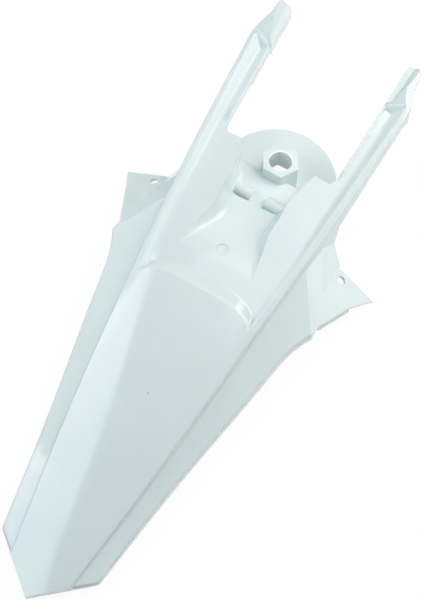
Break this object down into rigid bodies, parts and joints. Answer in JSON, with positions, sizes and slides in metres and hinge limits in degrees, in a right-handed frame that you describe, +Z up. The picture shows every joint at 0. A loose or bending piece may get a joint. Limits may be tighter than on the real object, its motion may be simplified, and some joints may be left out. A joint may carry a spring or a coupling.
{
  "type": "motorcycle rear fender",
  "caption": "Moulded rear fender for an off-road motorcycle: raised tapering blade with flanges, seat deck with a bolt boss, fork-like arms forward and side ears with fixing holes.",
  "frame": {"origin": "middle of the seat bolt hole, on the top face of its boss", "axes": "+X forward along the arms, +Y to the rider's left, +Z up, square to the surface that the part lies on"},
  "size_m": [0.697, 0.3132, 0.0957],
  "materials": {
    "white_plastic": "glossy moulded polypropylene"
  },
  "bodies": {
    "root": {"rear_fender": "white_plastic"}
  },
  "joints": []
}
